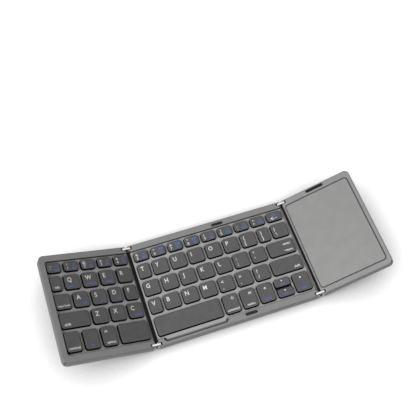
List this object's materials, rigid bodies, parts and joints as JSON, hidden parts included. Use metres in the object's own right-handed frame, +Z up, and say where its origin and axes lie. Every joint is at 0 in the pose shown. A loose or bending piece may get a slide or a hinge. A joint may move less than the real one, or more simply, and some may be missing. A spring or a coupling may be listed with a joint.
{
  "type": "folding keyboard",
  "caption": "Three-panel folding keyboard with a touchpad: both side panels fold up and over onto the middle panel on double-pin links.",
  "frame": {"origin": "on the surface it stands on, under the centre of its outline at rest", "axes": "+X along the keyboard towards the touchpad, +Y towards the back edge, +Z up"},
  "size_m": [0.2868, 0.0972, 0.0368],
  "materials": {
    "rim_plastic": "satin",
    "deck_plastic": "satin",
    "key_plastic": "matte",
    "plate_steel": "brushed",
    "membrane_film": "satin",
    "dome_rubber": "matte",
    "lever_plastic": "satin",
    "black_rubber": "matte",
    "screw_steel": "satin",
    "pin_steel": "polished",
    "touchpad_plastic": "matte",
    "circuit_board": "satin",
    "battery_foil": "satin",
    "black_gloss": "gloss",
    "link_chrome": "polished",
    "spine_plastic": "matte",
    "ribbon_film": "satin"
  },
  "bodies": {
    "middle_panel": {"middle_bottom_cover": "rim_plastic", "middle_top_frame": "rim_plastic", "middle_key_deck": "deck_plastic", "middle_support_plate": "plate_steel", "middle_membrane": "membrane_film", "middle_rubber_domes": "dome_rubber", "middle_scissor_levers": "lever_plastic", "middle_feet": "black_rubber", "middle_screws": "screw_steel", "middle_hinge_pins": "pin_steel", "closing_bumpers": "black_rubber", "left_ribbon_cable": "ribbon_film", "right_ribbon_cable": "ribbon_film"},
    "left_panel": {"left_bottom_cover": "rim_plastic", "left_top_frame": "rim_plastic", "left_key_deck": "deck_plastic", "left_support_plate": "plate_steel", "left_membrane": "membrane_film", "left_rubber_domes": "dome_rubber", "left_scissor_levers": "lever_plastic", "left_feet": "black_rubber", "left_screws": "screw_steel", "left_hinge_pins": "pin_steel"},
    "right_panel": {"right_bottom_cover": "rim_plastic", "right_top_frame": "rim_plastic", "touchpad_surface": "touchpad_plastic", "touchpad_board": "circuit_board", "main_circuit_board": "circuit_board", "battery": "battery_foil", "charging_port": "pin_steel", "indicator_window": "black_gloss", "right_feet": "black_rubber", "right_screws": "screw_steel", "right_hinge_pins": "pin_steel"},
    "left_links": {"left_hinge_links": "link_chrome", "left_hinge_spine": "spine_plastic"},
    "right_links": {"right_hinge_links": "link_chrome", "right_hinge_spine": "spine_plastic"},
    "left_number_keys": {"left_number_keys": "key_plastic"},
    "tab_key": {"tab_key": "key_plastic"},
    "keys_q_to_r": {"keys_q_to_r": "key_plastic"},
    "caps_lock_key": {"caps_lock_key": "key_plastic"},
    "keys_a_to_f": {"keys_a_to_f": "key_plastic"},
    "left_shift_key": {"left_shift_key": "key_plastic"},
    "keys_z_to_c": {"keys_z_to_c": "key_plastic"},
    "left_modifier_keys": {"left_modifier_keys": "key_plastic"},
    "left_space_key": {"left_space_key": "key_plastic"},
    "middle_number_keys": {"middle_number_keys": "key_plastic"},
    "backspace_key": {"backspace_key": "key_plastic"},
    "keys_t_to_slash": {"keys_t_to_slash": "key_plastic"},
    "keys_g_to_quote": {"keys_g_to_quote": "key_plastic"},
    "enter_key": {"enter_key": "key_plastic"},
    "keys_v_to_slash": {"keys_v_to_slash": "key_plastic"},
    "right_shift_key": {"right_shift_key": "key_plastic"},
    "space_bar": {"space_bar": "key_plastic"},
    "right_modifier_keys": {"right_modifier_keys": "key_plastic"},
    "left_arrow_key": {"left_arrow_key": "key_plastic"},
    "up_arrow_key": {"up_arrow_key": "key_plastic"},
    "down_arrow_key": {"down_arrow_key": "key_plastic"},
    "right_arrow_key": {"right_arrow_key": "key_plastic"}
  },
  "joints": [
    {"name": "left_inner_pins", "type": "hinge", "parent": "middle_panel", "child": "left_links", "pos_m": [-0.06522, 0, 0.0058], "axis": [0, 1, 0], "range_deg": [-10.75, 79.25], "deforming": ["left_ribbon_cable"]},
    {"name": "left_fold", "type": "hinge", "parent": "left_links", "child": "left_panel", "pos_m": [-0.07033, 0, 0.00677], "axis": [0, 1, 0], "range_deg": [-10.75, 79.25], "deforming": ["left_ribbon_cable"]},
    {"name": "right_inner_pins", "type": "hinge", "parent": "middle_panel", "child": "right_links", "pos_m": [0.07658, 0, 0.0058], "axis": [0, -1, 0], "range_deg": [-10.75, 79.25], "deforming": ["right_ribbon_cable"]},
    {"name": "right_fold", "type": "hinge", "parent": "right_links", "child": "right_panel", "pos_m": [0.08168, 0, 0.00677], "axis": [0, -1, 0], "range_deg": [-10.75, 79.25], "deforming": ["right_ribbon_cable"]},
    {"name": "left_number_press", "type": "slide", "parent": "left_panel", "child": "left_number_keys", "axis": [-0.3665, 0, -0.9304], "range_m": [0, 0.0013], "stiffness_N_per_m": 2000, "deforming": ["left_rubber_domes", "left_scissor_levers"]},
    {"name": "tab_press", "type": "slide", "parent": "left_panel", "child": "tab_key", "axis": [-0.3665, 0, -0.9304], "range_m": [0, 0.0013], "stiffness_N_per_m": 400, "deforming": ["left_rubber_domes", "left_scissor_levers"]},
    {"name": "keys_q_to_r_press", "type": "slide", "parent": "left_panel", "child": "keys_q_to_r", "axis": [-0.3665, 0, -0.9304], "range_m": [0, 0.0013], "stiffness_N_per_m": 1600, "deforming": ["left_rubber_domes", "left_scissor_levers"]},
    {"name": "caps_lock_press", "type": "slide", "parent": "left_panel", "child": "caps_lock_key", "axis": [-0.3665, 0, -0.9304], "range_m": [0, 0.0013], "stiffness_N_per_m": 400, "deforming": ["left_rubber_domes", "left_scissor_levers"]},
    {"name": "keys_a_to_f_press", "type": "slide", "parent": "left_panel", "child": "keys_a_to_f", "axis": [-0.3665, 0, -0.9304], "range_m": [0, 0.0013], "stiffness_N_per_m": 1600, "deforming": ["left_rubber_domes", "left_scissor_levers"]},
    {"name": "left_shift_press", "type": "slide", "parent": "left_panel", "child": "left_shift_key", "axis": [-0.3665, 0, -0.9304], "range_m": [0, 0.0013], "stiffness_N_per_m": 400, "deforming": ["left_rubber_domes", "left_scissor_levers"]},
    {"name": "keys_z_to_c_press", "type": "slide", "parent": "left_panel", "child": "keys_z_to_c", "axis": [-0.3665, 0, -0.9304], "range_m": [0, 0.0013], "stiffness_N_per_m": 1200, "deforming": ["left_rubber_domes", "left_scissor_levers"]},
    {"name": "left_modifier_press", "type": "slide", "parent": "left_panel", "child": "left_modifier_keys", "axis": [-0.3665, 0, -0.9304], "range_m": [0, 0.0013], "stiffness_N_per_m": 1200, "deforming": ["left_rubber_domes", "left_scissor_levers"]},
    {"name": "left_space_press", "type": "slide", "parent": "left_panel", "child": "left_space_key", "axis": [-0.3665, 0, -0.9304], "range_m": [0, 0.0013], "stiffness_N_per_m": 400, "deforming": ["left_rubber_domes", "left_scissor_levers"]},
    {"name": "middle_number_press", "type": "slide", "parent": "middle_panel", "child": "middle_number_keys", "axis": [0, 0, -1], "range_m": [0, 0.0013], "stiffness_N_per_m": 3200, "deforming": ["middle_rubber_domes", "middle_scissor_levers"]},
    {"name": "backspace_press", "type": "slide", "parent": "middle_panel", "child": "backspace_key", "axis": [0, 0, -1], "range_m": [0, 0.0013], "stiffness_N_per_m": 400, "deforming": ["middle_rubber_domes", "middle_scissor_levers"]},
    {"name": "keys_t_to_slash_press", "type": "slide", "parent": "middle_panel", "child": "keys_t_to_slash", "axis": [0, 0, -1], "range_m": [0, 0.0013], "stiffness_N_per_m": 3600, "deforming": ["middle_rubber_domes", "middle_scissor_levers"]},
    {"name": "keys_g_to_quote_press", "type": "slide", "parent": "middle_panel", "child": "keys_g_to_quote", "axis": [0, 0, -1], "range_m": [0, 0.0013], "stiffness_N_per_m": 2800, "deforming": ["middle_rubber_domes", "middle_scissor_levers"]},
    {"name": "enter_press", "type": "slide", "parent": "middle_panel", "child": "enter_key", "axis": [0, 0, -1], "range_m": [0, 0.0013], "stiffness_N_per_m": 400, "deforming": ["middle_rubber_domes", "middle_scissor_levers"]},
    {"name": "keys_v_to_slash_press", "type": "slide", "parent": "middle_panel", "child": "keys_v_to_slash", "axis": [0, 0, -1], "range_m": [0, 0.0013], "stiffness_N_per_m": 2800, "deforming": ["middle_rubber_domes", "middle_scissor_levers"]},
    {"name": "right_shift_press", "type": "slide", "parent": "middle_panel", "child": "right_shift_key", "axis": [0, 0, -1], "range_m": [0, 0.0013], "stiffness_N_per_m": 400, "deforming": ["middle_rubber_domes", "middle_scissor_levers"]},
    {"name": "space_bar_press", "type": "slide", "parent": "middle_panel", "child": "space_bar", "axis": [0, 0, -1], "range_m": [0, 0.0013], "stiffness_N_per_m": 400, "deforming": ["middle_rubber_domes", "middle_scissor_levers"]},
    {"name": "right_modifier_press", "type": "slide", "parent": "middle_panel", "child": "right_modifier_keys", "axis": [0, 0, -1], "range_m": [0, 0.0013], "stiffness_N_per_m": 800, "deforming": ["middle_rubber_domes", "middle_scissor_levers"]},
    {"name": "left_arrow_press", "type": "slide", "parent": "middle_panel", "child": "left_arrow_key", "axis": [0, 0, -1], "range_m": [0, 0.0013], "stiffness_N_per_m": 400, "deforming": ["middle_rubber_domes", "middle_scissor_levers"]},
    {"name": "up_arrow_press", "type": "slide", "parent": "middle_panel", "child": "up_arrow_key", "axis": [0, 0, -1], "range_m": [0, 0.0013], "stiffness_N_per_m": 400, "deforming": ["middle_rubber_domes", "middle_scissor_levers"]},
    {"name": "down_arrow_press", "type": "slide", "parent": "middle_panel", "child": "down_arrow_key", "axis": [0, 0, -1], "range_m": [0, 0.0013], "stiffness_N_per_m": 400, "deforming": ["middle_rubber_domes", "middle_scissor_levers"]},
    {"name": "right_arrow_press", "type": "slide", "parent": "middle_panel", "child": "right_arrow_key", "axis": [0, 0, -1], "range_m": [0, 0.0013], "stiffness_N_per_m": 400, "deforming": ["middle_rubber_domes", "middle_scissor_levers"]}
  ],
  "couplings": [
    {"joint": "left_inner_pins", "follows": "left_fold", "ratio": 1},
    {"joint": "right_inner_pins", "follows": "right_fold", "ratio": 1}
  ]
}
